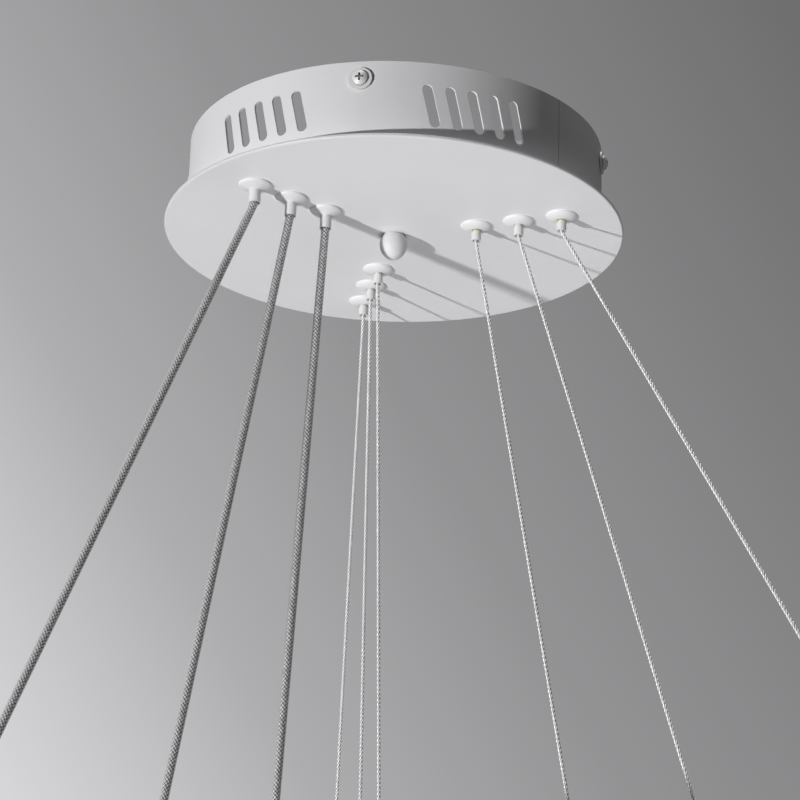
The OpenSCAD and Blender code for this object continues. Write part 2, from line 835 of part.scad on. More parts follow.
module wire(row, level) {
    color(rope)
    cord(cord_route(
        row, level, wire_head_z, plunger_mouth_z, ring_top(level) + anchor_foot, wire_half_bend
    ), wire_d);
}

// Rings
module at_ring(level, z) {
    translate(ring_centre(level) + [0, 0, z]) children();
}

module ring_band(level, width, height) {
    rotate_extrude($fn = 180) translate([ring_ds[level] / 2 - width / 2, 0]) square([width, height]);
}

module ring_channel(level) {
    inner_w = ring_w - 2 * ring_wall;
    color(white)
    difference() {
        at_ring(level, ring_foot(level)) difference() {
            ring_band(level, ring_w, ring_h);
            translate([0, 0, -cut]) ring_band(level, inner_w - 2 * ledge_w, ring_h - ring_wall + cut);
            translate([0, 0, -cut]) ring_band(level, inner_w, diffuser_t + cut);
            translate([0, 0, diffuser_t + ledge_h])
                ring_band(level, inner_w, ring_h - ring_wall - diffuser_t - ledge_h);
        }
        for (row = WIRE_ROWS)
            translate(fitting_pos(row, level) + [0, 0, ring_top(level) - ring_wall - cut])
                cylinder(d = spigot_d + 2 * run_gap, h = ring_wall + 2 * cut);
        translate(fitting_pos(ROW_POWER, level) + [0, 0, ring_top(level) - ring_wall - cut])
            cylinder(d = entry_spigot_d + 2 * run_gap, h = ring_wall + 2 * cut);
    }
}

module ring_diffuser(level) {
    color(opal)
    at_ring(level, ring_foot(level)) ring_band(level, ring_w - 2 * ring_wall - 2 * lie_gap, diffuser_t);
}

module led_strip(level) {
    chips = floor(PI * ring_ds[level] / chip_pitch);
    color(opal)
    at_ring(level, ring_top(level) - ring_wall - strip_led_t)
    union() {
        ring_band(level, strip_led_w, strip_led_t);
        for (i = [0 : chips - 1])
            rotate([0, 0, i * 360 / chips])
                translate([ring_ds[level] / 2 - chip_w / 2, -chip_w / 2, -chip_h])
                    cube([chip_w, chip_w, chip_h + strip_led_t / 2]);
    }
}

module ring_fittings(level) {
    wire_bore_d = plunger_bore_d;
    color(white) {
        for (row = WIRE_ROWS)
            translate(fitting_pos(row, level) + [0, 0, ring_top(level)])
            difference() {
                union() {
                    cylinder(d = anchor_d, h = anchor_h);
                    translate([0, 0, -ring_wall]) cylinder(d = spigot_d, h = ring_wall + cut);
                }
                translate([0, 0, anchor_foot]) cylinder(d = wire_bore_d, h = anchor_h);
                translate([0, 0, anchor_h - mouth_flare])
                    cylinder(d1 = wire_bore_d, d2 = plunger_mouth_d, h = mouth_flare);
            }
        translate(fitting_pos(ROW_POWER, level) + [0, 0, ring_top(level)])
        difference() {
            union() {
                cylinder(d = entry_d, h = anchor_h);
                translate([0, 0, -ring_wall]) cylinder(d = entry_spigot_d, h = ring_wall + cut);
            }
            translate([0, 0, -ring_wall - cut])
                cylinder(d = gland_bore_d, h = anchor_h + ring_wall + 2 * cut);
        }
    }
}

ceiling_bracket();
canopy_band();
band_joint_strip();
base_plate();
centre_rod();
rod_nuts();
dome_nut();
side_screws();
side_washers();
earth_screw();
terminal_block();
terminal_screws();
driver_case(OUTER);  // driver_case_outer
driver_case(MIDDLE);  // driver_case_middle
driver_case(INNER);  // driver_case_inner
driver_lid(OUTER);  // driver_lid_outer
driver_lid(MIDDLE);  // driver_lid_middle
driver_lid(INNER);  // driver_lid_inner
driver_board(OUTER);  // driver_board_outer
driver_board(MIDDLE);  // driver_board_middle
driver_board(INNER);  // driver_board_inner
driver_nuts();
primary_leads();
output_leads();
power_gland(OUTER);  // power_gland_outer
power_gland(MIDDLE);  // power_gland_middle
power_gland(INNER);  // power_gland_inner
gland_nuts();
gripper_cores();
gripper_covers();
gripper_nuts();
gripper_springs();
plunger(ROW_A, OUTER);  // plunger_outer_a
plunger(ROW_B, OUTER);  // plunger_outer_b
plunger(ROW_A, MIDDLE);  // plunger_middle_a
plunger(ROW_B, MIDDLE);  // plunger_middle_b
plunger(ROW_A, INNER);  // plunger_inner_a
plunger(ROW_B, INNER);  // plunger_inner_b
power_cord(OUTER);  // power_cord_outer
power_cord(MIDDLE);  // power_cord_middle
power_cord(INNER);  // power_cord_inner
wire(ROW_A, OUTER);  // wire_outer_a
wire(ROW_B, OUTER);  // wire_outer_b
wire(ROW_A, MIDDLE);  // wire_middle_a
wire(ROW_B, MIDDLE);  // wire_middle_b
wire(ROW_A, INNER);  // wire_inner_a
wire(ROW_B, INNER);  // wire_inner_b
ring_channel(OUTER);  // ring_channel_outer
ring_channel(MIDDLE);  // ring_channel_middle
ring_channel(INNER);  // ring_channel_inner
ring_diffuser(OUTER);  // ring_diffuser_outer
ring_diffuser(MIDDLE);  // ring_diffuser_middle
ring_diffuser(INNER);  // ring_diffuser_inner
led_strip(OUTER);  // led_strip_outer
led_strip(MIDDLE);  // led_strip_middle
led_strip(INNER);  // led_strip_inner
ring_fittings(OUTER);  // ring_fittings_outer
ring_fittings(MIDDLE);  // ring_fittings_middle
ring_fittings(INNER);  // ring_fittings_inner
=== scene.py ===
"""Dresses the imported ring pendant: camera, cords, finishes and plain studio light, all in metres."""

import json
import math

import bpy
from mathutils import Matrix, Vector


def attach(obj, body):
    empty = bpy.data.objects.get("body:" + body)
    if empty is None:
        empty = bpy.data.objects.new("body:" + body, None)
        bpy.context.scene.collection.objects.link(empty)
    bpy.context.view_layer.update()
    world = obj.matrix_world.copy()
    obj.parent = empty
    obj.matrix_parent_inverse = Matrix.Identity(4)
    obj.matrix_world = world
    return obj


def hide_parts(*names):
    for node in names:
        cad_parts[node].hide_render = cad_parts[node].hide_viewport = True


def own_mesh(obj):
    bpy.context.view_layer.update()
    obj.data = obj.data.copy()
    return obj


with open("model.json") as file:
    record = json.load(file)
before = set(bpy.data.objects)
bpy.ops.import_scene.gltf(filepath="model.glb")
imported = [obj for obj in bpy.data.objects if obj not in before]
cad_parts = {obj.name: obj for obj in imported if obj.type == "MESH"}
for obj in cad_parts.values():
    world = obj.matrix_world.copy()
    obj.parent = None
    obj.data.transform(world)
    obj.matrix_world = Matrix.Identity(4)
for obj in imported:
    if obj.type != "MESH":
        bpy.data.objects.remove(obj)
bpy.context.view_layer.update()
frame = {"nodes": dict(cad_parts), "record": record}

LEVELS = ["outer", "middle", "inner"]
ROWS = ["a", "b", "power"]
UP = (0, 0, 1)

# ---------------------------------------------------------------- camera

CAMERA_PLACE = Vector((0.26416, -1.49812, -0.71973))
CAMERA_TURN = math.radians(10.0)
CAMERA_YAW = 0.00402
CAMERA_PITCH = 0.36171
CAMERA_ROLL = 0.02948
CAMERA_LENS = 137.02
SENSOR_WIDTH = 36.0


def add_camera():
    """Makes the camera at the photograph's view, and gives its own right and up."""
    turn = Matrix.Rotation(CAMERA_TURN, 3, "Z")
    forward = turn @ Vector((
        math.sin(CAMERA_YAW) * math.cos(CAMERA_PITCH),
        math.cos(CAMERA_YAW) * math.cos(CAMERA_PITCH),
        math.sin(CAMERA_PITCH),
    ))
    level = turn @ Vector((math.cos(CAMERA_YAW), -math.sin(CAMERA_YAW), 0))
    upright = level.cross(forward)
    right = math.cos(CAMERA_ROLL) * level + math.sin(CAMERA_ROLL) * upright
    up = -math.sin(CAMERA_ROLL) * level + math.cos(CAMERA_ROLL) * upright
    data = bpy.data.cameras.new("camera")
    data.sensor_width = SENSOR_WIDTH
    data.lens = CAMERA_LENS
    data.clip_start = 0.05
    data.clip_end = 60.0
    camera = bpy.data.objects.new("camera", data)
    bpy.context.scene.collection.objects.link(camera)
    axes = Matrix((right, up, -forward)).transposed()
    camera.matrix_world = Matrix.Translation(CAMERA_PLACE) @ axes.to_4x4()
    bpy.context.scene.camera = camera
    return right, up


camera_right, camera_up = add_camera()

# ---------------------------------------------------------------- materials

NOISE_ROUGHNESS = 0.55
NOISE_LOW, NOISE_HIGH = 0.3, 0.7


class Surface:
    """A procedural material: a Principled shader and short ways to wire nodes into it."""

    def __init__(self, name, metallic=0.0, **sockets):
        self.material = bpy.data.materials.new(name)
        self.material.use_nodes = True
        self.tree = self.material.node_tree
        self.shader = self.tree.nodes["Principled BSDF"]
        self.shader.inputs["Metallic"].default_value = metallic
        for socket, value in sockets.items():
            self.shader.inputs[socket.replace("_", " ")].default_value = value
        self.heights = []

    def node(self, kind, **values):
        made = self.tree.nodes.new(kind)
        for key, value in values.items():
            setattr(made, key, value)
        return made

    def wire(self, source, target):
        self.tree.links.new(source, target)

    def place(self, stretch=(1, 1, 1), kind="Object"):
        """Coordinates on the piece itself, stretched along its axes."""
        coords = self.node("ShaderNodeTexCoord").outputs[kind]
        mapping = self.node("ShaderNodeMapping")
        mapping.inputs["Scale"].default_value = stretch
        self.wire(coords, mapping.inputs["Vector"])
        return mapping.outputs["Vector"]

    def noise(self, scale, detail=3.0, stretch=(1, 1, 1)):
        made = self.node("ShaderNodeTexNoise")
        made.inputs["Scale"].default_value = scale
        made.inputs["Detail"].default_value = detail
        made.inputs["Roughness"].default_value = NOISE_ROUGHNESS
        self.wire(self.place(stretch), made.inputs["Vector"])
        return made.outputs["Fac"]

    def math(self, operation, a, b=None):
        made = self.node("ShaderNodeMath", operation=operation)
        for socket, value in zip(made.inputs, (a, b)):
            if value is None:
                continue
            if isinstance(value, (int, float)):
                socket.default_value = value
            else:
                self.wire(value, socket)
        return made.outputs[0]

    def ramp(self, source, stops):
        """Colours between stops of (place, colour)."""
        made = self.node("ShaderNodeValToRGB")
        elements = made.color_ramp.elements
        while len(elements) < len(stops):
            elements.new(0.5)
        for element, (place, colour) in zip(elements, stops):
            element.position = place
            element.color = (*colour, 1)
        self.wire(source, made.inputs["Fac"])
        return made.outputs["Color"]

    def spread(self, source, low, high):
        """Values from low to high over the middle of a noise's range."""
        made = self.node("ShaderNodeMapRange")
        made.inputs["From Min"].default_value = NOISE_LOW
        made.inputs["From Max"].default_value = NOISE_HIGH
        made.inputs["To Min"].default_value = low
        made.inputs["To Max"].default_value = high
        self.wire(source, made.inputs["Value"])
        return made.outputs["Result"]

    def mix(self, factor, a, b, blend="MIX"):
        made = self.node("ShaderNodeMix", data_type="RGBA", blend_type=blend)
        for label, value in (("Factor", factor), ("A", a), ("B", b)):
            socket = made.inputs[label]
            if isinstance(value, (int, float)):
                socket.default_value = value
            elif isinstance(value, tuple):
                socket.default_value = (*value, 1)
            else:
                self.wire(value, socket)
        return made.outputs["Result"]

    def colour(self, source):
        self.wire(source, self.shader.inputs["Base Color"])

    def rough(self, source):
        self.wire(source, self.shader.inputs["Roughness"])

    def bump(self, source, distance):
        """Adds a relief whose full height is distance, in metres."""
        made = self.node("ShaderNodeBump")
        made.inputs["Strength"].default_value = 1.0
        made.inputs["Distance"].default_value = distance
        self.wire(source, made.inputs["Height"])
        if self.heights:
            self.wire(self.heights[-1], made.inputs["Normal"])
        self.heights.append(made.outputs["Normal"])

    def done(self):
        if self.heights:
            self.wire(self.heights[-1], self.shader.inputs["Normal"])
        return self.material


def shades(colour, spread):
    """A darker and a lighter stop around a colour."""
    darker = tuple(c * (1 - spread) for c in colour)
    lighter = tuple(min(1, c * (1 + spread)) for c in colour)
    return [(NOISE_LOW, darker), (NOISE_HIGH, lighter)]


def grey(tone):
    return (tone, tone, tone)


FLAT_FACE = 0.95


def powder_coat(name, colour, edge=1.0):
    """Satin powder coat. Below 1, edge is painted shade: the colour is multiplied by it on faces that
    aren't level.
    """
    s = Surface(name, IOR=1.5, Specular_IOR_Level=0.5)
    tone = s.ramp(s.noise(28, detail=5), shades(colour, 0.012))
    # Painted shade on rims: faces that aren't level, such as the plate's rim, are darkened so they don't
    # shine brighter than the band.
    if edge < 1.0:
        facing = s.node("ShaderNodeSeparateXYZ")
        s.wire(s.node("ShaderNodeTexCoord").outputs["Normal"], facing.inputs[0])
        upright = s.math("LESS_THAN", s.math("ABSOLUTE", facing.outputs["Z"]), FLAT_FACE)
        tone = s.mix(upright, tone, s.mix(1.0, tone, grey(edge), "MULTIPLY"))
    s.colour(tone)
    s.rough(s.spread(s.noise(260, detail=2), 0.44, 0.52))
    s.bump(s.noise(900, detail=2), 0.00004)
    s.bump(s.noise(4200, detail=1), 0.000012)
    return s.done()


def moulded(name, colour, rough=(0.36, 0.46)):
    """Moulded plastic or a smooth thick coat."""
    s = Surface(name, IOR=1.47)
    s.colour(s.ramp(s.noise(60, detail=4), shades(colour, 0.015)))
    s.rough(s.spread(s.noise(420, detail=3), *rough))
    s.bump(s.noise(2600, detail=2), 0.00002)
    return s.done()


def metal(name, colour, rough, spread=0.05, grain=700, stretch=(1, 1, 6), share=1.0, painted_shade_reach=0.0):
    """Plated or bare metal. Share is how metallic it is, and the last argument is how far painted shade
    reaches into recesses.
    """
    s = Surface(name, metallic=share)
    tone = s.ramp(s.noise(90, detail=5), shades(colour, spread))
    # Painted shade: the colour darkens where ambient occlusion finds recesses and contact lines.
    if painted_shade_reach:
        recess_occlusion = s.node("ShaderNodeAmbientOcclusion", samples=8)
        recess_occlusion.inputs["Distance"].default_value = painted_shade_reach
        recess_shade = s.ramp(recess_occlusion.outputs["AO"], [(0.35, grey(0.12)), (0.8, grey(1))])
        tone = s.mix(1.0, tone, recess_shade, "MULTIPLY")
    s.colour(tone)
    s.rough(s.spread(s.noise(grain, detail=3, stretch=stretch), *rough))
    s.bump(s.noise(grain * 2, detail=2, stretch=stretch), 0.00001)
    return s.done()


WHITE = (0.79, 0.79, 0.807)
# Painted shade: the share of its colour that the plate's rim keeps.
PLATE_EDGE_SHADE = 0.82
coat = powder_coat("canopy powder coat", WHITE)
plate_coat_with_edge_shade = powder_coat("plate powder coat with painted edge shade", WHITE, PLATE_EDGE_SHADE)
nut_coat = moulded("nut coat", (0.70, 0.70, 0.71), (0.46, 0.54))
ring_coat = powder_coat("ring powder coat", WHITE)
gland_plastic = moulded("gland plastic", (0.73, 0.73, 0.74))
cover_plastic = moulded("cover plastic", (0.76, 0.76, 0.77), (0.40, 0.50))
case_plastic = moulded("driver plastic", (0.80, 0.80, 0.77), (0.48, 0.6))
block_plastic = moulded("terminal plastic", (0.78, 0.78, 0.75), (0.4, 0.5))
sheath = moulded("lead sheath", (0.74, 0.74, 0.73), (0.4, 0.55))
EVEN = (1, 1, 1)
zinc = metal("zinc plate", (0.56, 0.57, 0.60), (0.28, 0.46), spread=0.12, grain=300, stretch=EVEN)
# The side screws' cross recesses and the washers' contact lines get painted shade.
nickel = metal("satin nickel with painted recess shade", grey(0.74), (0.46, 0.56), spread=0.04, share=0.08, painted_shade_reach=0.0016)
brass = metal("turned brass", (0.78, 0.68, 0.40), (0.20, 0.34), spread=0.07)


def plunger_material(name, coat_top):
    """Brass above the height coat_top, and white coating below it."""
    s = Surface(name, Specular_IOR_Level=0.5)
    height = s.node("ShaderNodeSeparateXYZ")
    s.wire(s.place(), height.inputs[0])
    nozzle = s.math("LESS_THAN", height.outputs["Z"], coat_top)
    metallic = s.math("SUBTRACT", 1.0, nozzle)
    s.wire(metallic, s.shader.inputs["Metallic"])
    brass_tone = s.ramp(s.noise(90, detail=5), shades((0.85, 0.79, 0.52), 0.06))
    white_tone = s.ramp(s.noise(28, detail=5), shades(grey(0.71), 0.012))
    s.colour(s.mix(nozzle, brass_tone, white_tone))
    turned = s.spread(s.noise(700, stretch=(1, 1, 6)), 0.28, 0.40)
    s.rough(s.mix(nozzle, turned, grey(0.42)))
    s.bump(s.noise(2600, detail=2), 0.00001)
    return s.done()


def board_material():
    s = Surface("circuit board", IOR=1.5)
    tracks = s.node("ShaderNodeTexBrick")
    tracks.inputs["Scale"].default_value = 260
    tracks.inputs["Color1"].default_value = (0.02, 0.16, 0.07, 1)
    tracks.inputs["Color2"].default_value = (0.03, 0.20, 0.09, 1)
    tracks.inputs["Mortar"].default_value = (0.06, 0.30, 0.14, 1)
    s.wire(s.place(), tracks.inputs["Vector"])
    s.colour(tracks.outputs["Color"])
    s.rough(s.spread(s.noise(300), 0.32, 0.45))
    s.bump(tracks.outputs["Fac"], 0.00004)
    return s.done()


def led_board_material():
    s = Surface("led strip solder mask", IOR=1.5)
    s.colour(s.ramp(s.noise(150, detail=4), shades((0.80, 0.79, 0.74), 0.04)))
    s.rough(s.spread(s.noise(500), 0.3, 0.42))
    s.bump(s.noise(1500), 0.00002)
    return s.done()


def opal_material():
    s = Surface("opal acrylic", IOR=1.49, Subsurface_Weight=0.25, Subsurface_Scale=0.004)
    s.shader.inputs["Subsurface Radius"].default_value = (1.0, 0.95, 0.9)
    s.colour(s.ramp(s.noise(40, detail=3), shades((0.88, 0.88, 0.86), 0.01)))
    s.rough(s.spread(s.noise(300, detail=2), 0.26, 0.36))
    s.bump(s.noise(1800, detail=2), 0.00001)
    return s.done()


BRAID_D = 0.0038
BRAID_BANDS = 6
BRAID_PITCH = 0.013
BRAID_REPEAT = 4
JACKET_FACE, JACKET_EDGE = 0.02, 0.8
ROPE_STRANDS = 3
ROPE_LAY = 0.0072
FINE_WIRES = 36
FINE_WIRE_TURNS = 1400


def crown(s, phase):
    """A rounded ridge across each unit of phase, from 0 at its sides to 1 in its middle."""
    offset = s.math("SUBTRACT", s.math("FRACT", phase), 0.5)
    return s.math("SUBTRACT", 1.0, s.math("MULTIPLY", s.math("MULTIPLY", offset, offset), 4.0))


def braid_material():
    """Crossing bands that pass over two and under two, drawn from the tube's own coordinates, with painted
    shade in the gaps and painted highlight on the crowns.
    """
    s = Surface("tinned braid", metallic=0.3)
    split = s.node("ShaderNodeSeparateXYZ")
    s.wire(s.place(kind="UV"), split.inputs[0])
    around = s.math("MULTIPLY", split.outputs["X"], BRAID_BANDS)
    along = s.math("MULTIPLY", split.outputs["Y"], BRAID_BANDS / BRAID_PITCH)
    right = s.math("ADD", along, around)
    left = s.math("SUBTRACT", along, around)
    cell = s.math("SUBTRACT", s.math("FLOOR", right), s.math("FLOOR", left))
    # The fraction is 0, 1/4, 1/2 or 3/4: the right-hand bands lie over in the last two.
    turn = s.math("FRACT", s.math("MULTIPLY", cell, 1 / BRAID_REPEAT))
    over = s.math("GREATER_THAN", turn, 0.45)
    band = s.mix(over, crown(s, right), crown(s, left))
    strand = s.mix(over, crown(s, left), crown(s, right))
    relief = s.math("MULTIPLY", band, s.math("ADD", s.math("MULTIPLY", strand, 0.55), 0.45))
    worn = s.ramp(s.noise(420, detail=3), [(0.35, grey(0.66)), (0.6, grey(1))])
    # Painted shade in the gaps between bands and painted highlight on their crowns.
    painted_braid_shading = s.ramp(relief, [(0.35, grey(0.10)), (0.75, grey(1))])
    s.colour(s.mix(1.0, worn, painted_braid_shading, "MULTIPLY"))
    s.rough(s.spread(s.noise(900), 0.30, 0.46))
    s.bump(relief, 0.0002)
    return s.done()


def jacket_material():
    """A clear plastic jacket, denser where it is seen edge on."""
    s = Surface("clear jacket", IOR=1.5)
    facing = s.node("ShaderNodeLayerWeight")
    facing.inputs["Blend"].default_value = 0.5
    density = s.node("ShaderNodeMapRange")
    density.inputs["To Min"].default_value = JACKET_FACE
    density.inputs["To Max"].default_value = JACKET_EDGE
    s.wire(facing.outputs["Facing"], density.inputs["Value"])
    s.wire(density.outputs["Result"], s.shader.inputs["Alpha"])
    s.colour(s.ramp(s.noise(50, detail=3), shades(grey(0.70), 0.03)))
    s.rough(s.spread(s.noise(500, detail=2), 0.14, 0.26))
    s.bump(s.noise(1500, detail=2), 0.00001)
    return s.done()


def rope_material():
    """Twisted strands with fine wires along each, coloured with painted shade dark between the strands and
    painted highlight on their crowns.
    """
    s = Surface("stranded wire", metallic=0.25)
    split = s.node("ShaderNodeSeparateXYZ")
    s.wire(s.place(kind="UV"), split.inputs[0])
    around, along = split.outputs["X"], split.outputs["Y"]
    strand = crown(s, s.math("ADD", s.math("MULTIPLY", around, ROPE_STRANDS), 0.5))
    slant = s.math("MULTIPLY", along, FINE_WIRE_TURNS)
    fine = crown(s, s.math("ADD", s.math("MULTIPLY", around, FINE_WIRES), slant))
    relief = s.math("ADD", s.math("MULTIPLY", strand, 0.8), s.math("MULTIPLY", fine, 0.2))
    worn = s.ramp(s.noise(260, detail=3), shades(grey(0.92), 0.08))
    # Painted shade in the hollows between strands and painted highlight on their crowns and fine wires.
    painted_strand_shading = s.ramp(relief, [(0.2, grey(0.12)), (0.75, grey(1))])
    s.colour(s.mix(1.0, worn, painted_strand_shading, "MULTIPLY"))
    s.rough(s.spread(s.noise(700), 0.32, 0.46))
    s.bump(relief, 0.00012)
    return s.done()


# ---------------------------------------------------------------- cords

# Places and sizes as in the part's source: rows, rings, heights, then the cords themselves
ROW_TURN = math.radians(-10.4)
ROW_STEP = math.radians(120)
GRIP_RADII = [0.0955, 0.0715, 0.0475]
RING_RADII = [0.300, 0.200, 0.120]
DROPS = [0.421, 0.514, 0.600]
POWER_MOUTH = -0.0591
WIRE_MOUTH = -0.0575
POWER_HEAD = -0.0345
WIRE_HEAD = -0.0330
FITTING_HEIGHT = 0.012
ANCHOR_FOOT = 0.003
RING_WALL = 0.002
LEAN = 0.053
LEAN_TURN = math.radians(10.0)
POWER_D = 0.0045
WIRE_D = 0.002
POWER_BEND = 0.0035
WIRE_BEND = 0.0025
POWER_STEP = 0.002
WIRE_STEP = 0.0006
ROUTE_STEPS = 9
JACKET_SIDES = 32
BRAID_SIDES = 24
SIDES_PER_STRAND = 6
STRAND_SHARE = 0.464
GROOVE_SHARE = 0.68


def ray(angle):
    return Vector((math.cos(angle), math.sin(angle), 0))


def bend(x, half):
    """0 below a corner and x above it, with the corner rounded over half on both sides."""
    if x <= -half:
        return 0.0
    return x if x >= half else (x + half) ** 2 / (4 * half)


class Route:
    """A hung cord's line: down in its nozzle, straight to the ring's fitting and down in it."""

    def __init__(self, row, level):
        power = ROWS[row] == "power"
        self.top = POWER_MOUTH if power else WIRE_MOUTH
        self.head = POWER_HEAD if power else WIRE_HEAD
        self.foot = POWER_MOUTH - DROPS[level]
        ring_top = self.foot - FITTING_HEIGHT
        self.end = ring_top - RING_WALL if power else ring_top + ANCHOR_FOOT
        self.half = POWER_BEND if power else WIRE_BEND
        angle = ROW_TURN + row * ROW_STEP
        self.start = GRIP_RADII[level] * ray(angle)
        fitting = LEAN * DROPS[level] * ray(LEAN_TURN) + RING_RADII[level] * ray(angle)
        self.run = (fitting - self.start) / (self.top - self.foot)

    def at(self, z):
        share = bend(self.top - z, self.half) - bend(self.foot - z, self.half)
        return self.start + share * self.run + Vector((0, 0, z))

    def points(self):
        """The route's own points: close together in the two bends and even between them."""
        high, low = self.top - 2 * self.half, self.foot + 2 * self.half
        between = [high + (low - high) * i / ROUTE_STEPS for i in range(ROUTE_STEPS + 1)]
        levels = [
            self.head, (self.head + self.top) / 2, self.top + self.half, self.top, self.top - self.half,
            *between, self.foot + self.half, self.foot, self.foot - self.half, self.end,
        ]
        return [self.at(z) for z in levels]

    def length(self):
        points = self.points()
        return sum((b - a).length for a, b in zip(points, points[1:]))


def route_frames(route, step):
    """Even points along the route, and at each the two directions across it."""
    count = max(2, round((route.head - route.end) / step))
    centres = [route.at(route.head + (route.end - route.head) * i / count) for i in range(count + 1)]
    frames = []
    for i in range(count + 1):
        tangent = (centres[min(i + 1, count)] - centres[max(i - 1, 0)]).normalized()
        side = Vector((0, 1, 0)).cross(tangent).normalized()
        frames.append((side, tangent.cross(side)))
    return centres, frames


def sweep(name, centres, frames, layers):
    """Closed tubes along the centres, one for each layer of (outline, material).

    An outline takes the length along the tube and gives the cross-section's points there.
    """
    count = len(centres) - 1
    lengths = [0.0]
    for a, b in zip(centres, centres[1:]):
        lengths.append(lengths[-1] + (b - a).length)
    verts, faces, uvs, owners = [], [], [], []
    for number, (outline, _) in enumerate(layers):
        first, start = len(verts), len(faces)
        for centre, length, (side, other) in zip(centres, lengths, frames):
            verts += [centre + x * side + y * other for x, y in outline(length)]
        sides = (len(verts) - first) // (count + 1)
        for i in range(count):
            for k in range(sides):
                near, far = first + i * sides, first + (i + 1) * sides
                q = (k + 1) % sides
                faces.append((near + k, near + q, far + q, far + k))
                u0, u1 = k / sides, (k + 1) / sides
                uvs += [(u0, lengths[i]), (u1, lengths[i]), (u1, lengths[i + 1]), (u0, lengths[i + 1])]
        for ring in (0, count):
            cap = [first + ring * sides + k for k in range(sides)]
            faces.append(tuple(cap) if ring else tuple(reversed(cap)))
            uvs += [(0, 0)] * sides
        owners += [number] * (len(faces) - start)
    mesh = bpy.data.meshes.new(name)
    mesh.from_pydata([tuple(v) for v in verts], [], faces)
    layer = mesh.uv_layers.new(name="along")
    for loop, uv in zip(layer.data, uvs):
        loop.uv = uv
    mesh.polygons.foreach_set("use_smooth", [True] * len(faces))
    mesh.polygons.foreach_set("material_index", owners)
    mesh.update()
    for _, material in layers:
        mesh.materials.append(material)
    piece = bpy.data.objects.new(name, mesh)
    bpy.context.scene.collection.objects.link(piece)
    return piece


def round_outline(radius, sides):
    """A circle, the same all along the tube."""
    angles = [2 * math.pi * k / sides for k in range(sides)]
    shape = [(radius * math.cos(a), radius * math.sin(a)) for a in angles]
    return lambda length: shape


def rope_outline(radius):
    """Three strands that touch: the outline of their circles, turning with the lay."""
    sides = ROPE_STRANDS * SIDES_PER_STRAND
    strand = radius * STRAND_SHARE
    centre = radius - strand
    sizes = []
    for k in range(sides):
        part = k / SIDES_PER_STRAND
        off = (part - round(part)) * 2 * math.pi / ROPE_STRANDS
        across = centre * math.sin(off)
        reach = centre * math.cos(off) + math.sqrt(max(strand ** 2 - across ** 2, 0))
        sizes.append(max(reach, GROOVE_SHARE * radius))

    def outline(length):
        turn = 2 * math.pi * length / ROPE_LAY
        angles = [turn + 2 * math.pi * k / sides for k in range(sides)]
        return [(size * math.cos(a), size * math.sin(a)) for size, a in zip(sizes, angles)]

    return outline


def add_cord(row, level):
    """One cord between a grip or gland and its ring."""
    level_name, row_name = LEVELS[level], ROWS[row]
    power = row_name == "power"
    name = f"{level_name}_power_cord" if power else f"{level_name}_wire_rope_{row_name}"
    node = f"power_cord_{level_name}" if power else f"wire_{level_name}_{row_name}"
    diameter = POWER_D if power else WIRE_D
    route = Route(row, level)
    if power:
        layers = [
            (round_outline(diameter / 2, JACKET_SIDES), jacket),
            (round_outline(BRAID_D / 2, BRAID_SIDES), braid),
        ]
    else:
        layers = [(rope_outline(diameter / 2), rope)]
    piece = sweep(name, *route_frames(route, POWER_STEP if power else WIRE_STEP), layers)
    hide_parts(node)
    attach(piece, "canopy")
    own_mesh(piece)


braid = braid_material()
jacket = jacket_material()
rope = rope_material()
for level in range(len(LEVELS)):
    for row in range(len(ROWS)):
        add_cord(row, level)

# ---------------------------------------------------------------- coil springs inside the grippers

SPRING_FOOT = -0.045
SPRING_HEAD = -0.04005
SPRING_MEAN_R = 0.00185
SPRING_WIRE_D = 0.00042
SPRING_TURNS = 5.5
TURN_STEPS = 20
SPRING_SIDES = 8


def add_spring(row, level):
    """A round-wire coil in one gripper."""
    level_name, row_name = LEVELS[level], ROWS[row]
    middle = GRIP_RADII[level] * ray(ROW_TURN + row * ROW_STEP)
    low, high = SPRING_FOOT + SPRING_WIRE_D / 2, SPRING_HEAD - SPRING_WIRE_D / 2
    count = round(SPRING_TURNS * TURN_STEPS)
    centres, frames = [], []
    for i in range(count + 1):
        outward = ray(2 * math.pi * i / TURN_STEPS)
        height = Vector((0, 0, low + (high - low) * i / count))
        centres.append(middle + SPRING_MEAN_R * outward + height)
        frames.append((outward, Vector(UP)))
    layers = [(round_outline(SPRING_WIRE_D / 2, SPRING_SIDES), spring_steel)]
    piece = sweep(f"{level_name}_gripper_spring_{row_name}", centres, frames, layers)
    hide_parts("gripper_springs")
    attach(piece, "canopy")
    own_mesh(piece)


spring_steel = metal("spring steel", (0.60, 0.60, 0.62), (0.22, 0.34), spread=0.08, grain=900, stretch=EVEN)
for level in range(len(LEVELS)):
    for row in range(2):
        add_spring(row, level)

# ---------------------------------------------------------------- finishes of the carried-over parts

FINISHES = {
    "white_coating": coat, "ring_coating": ring_coat, "white_plastic": gland_plastic,
    "driver_plastic": case_plastic, "terminal_plastic": block_plastic, "lead_sheath": sheath,
    "circuit_board": board_material(), "led_board": led_board_material(),
    "opal_acrylic": opal_material(), "brass": brass, "zinc_steel": zinc, "nickel_plate": nickel,
    "cord_braid": braid, "wire_rope": rope,
}
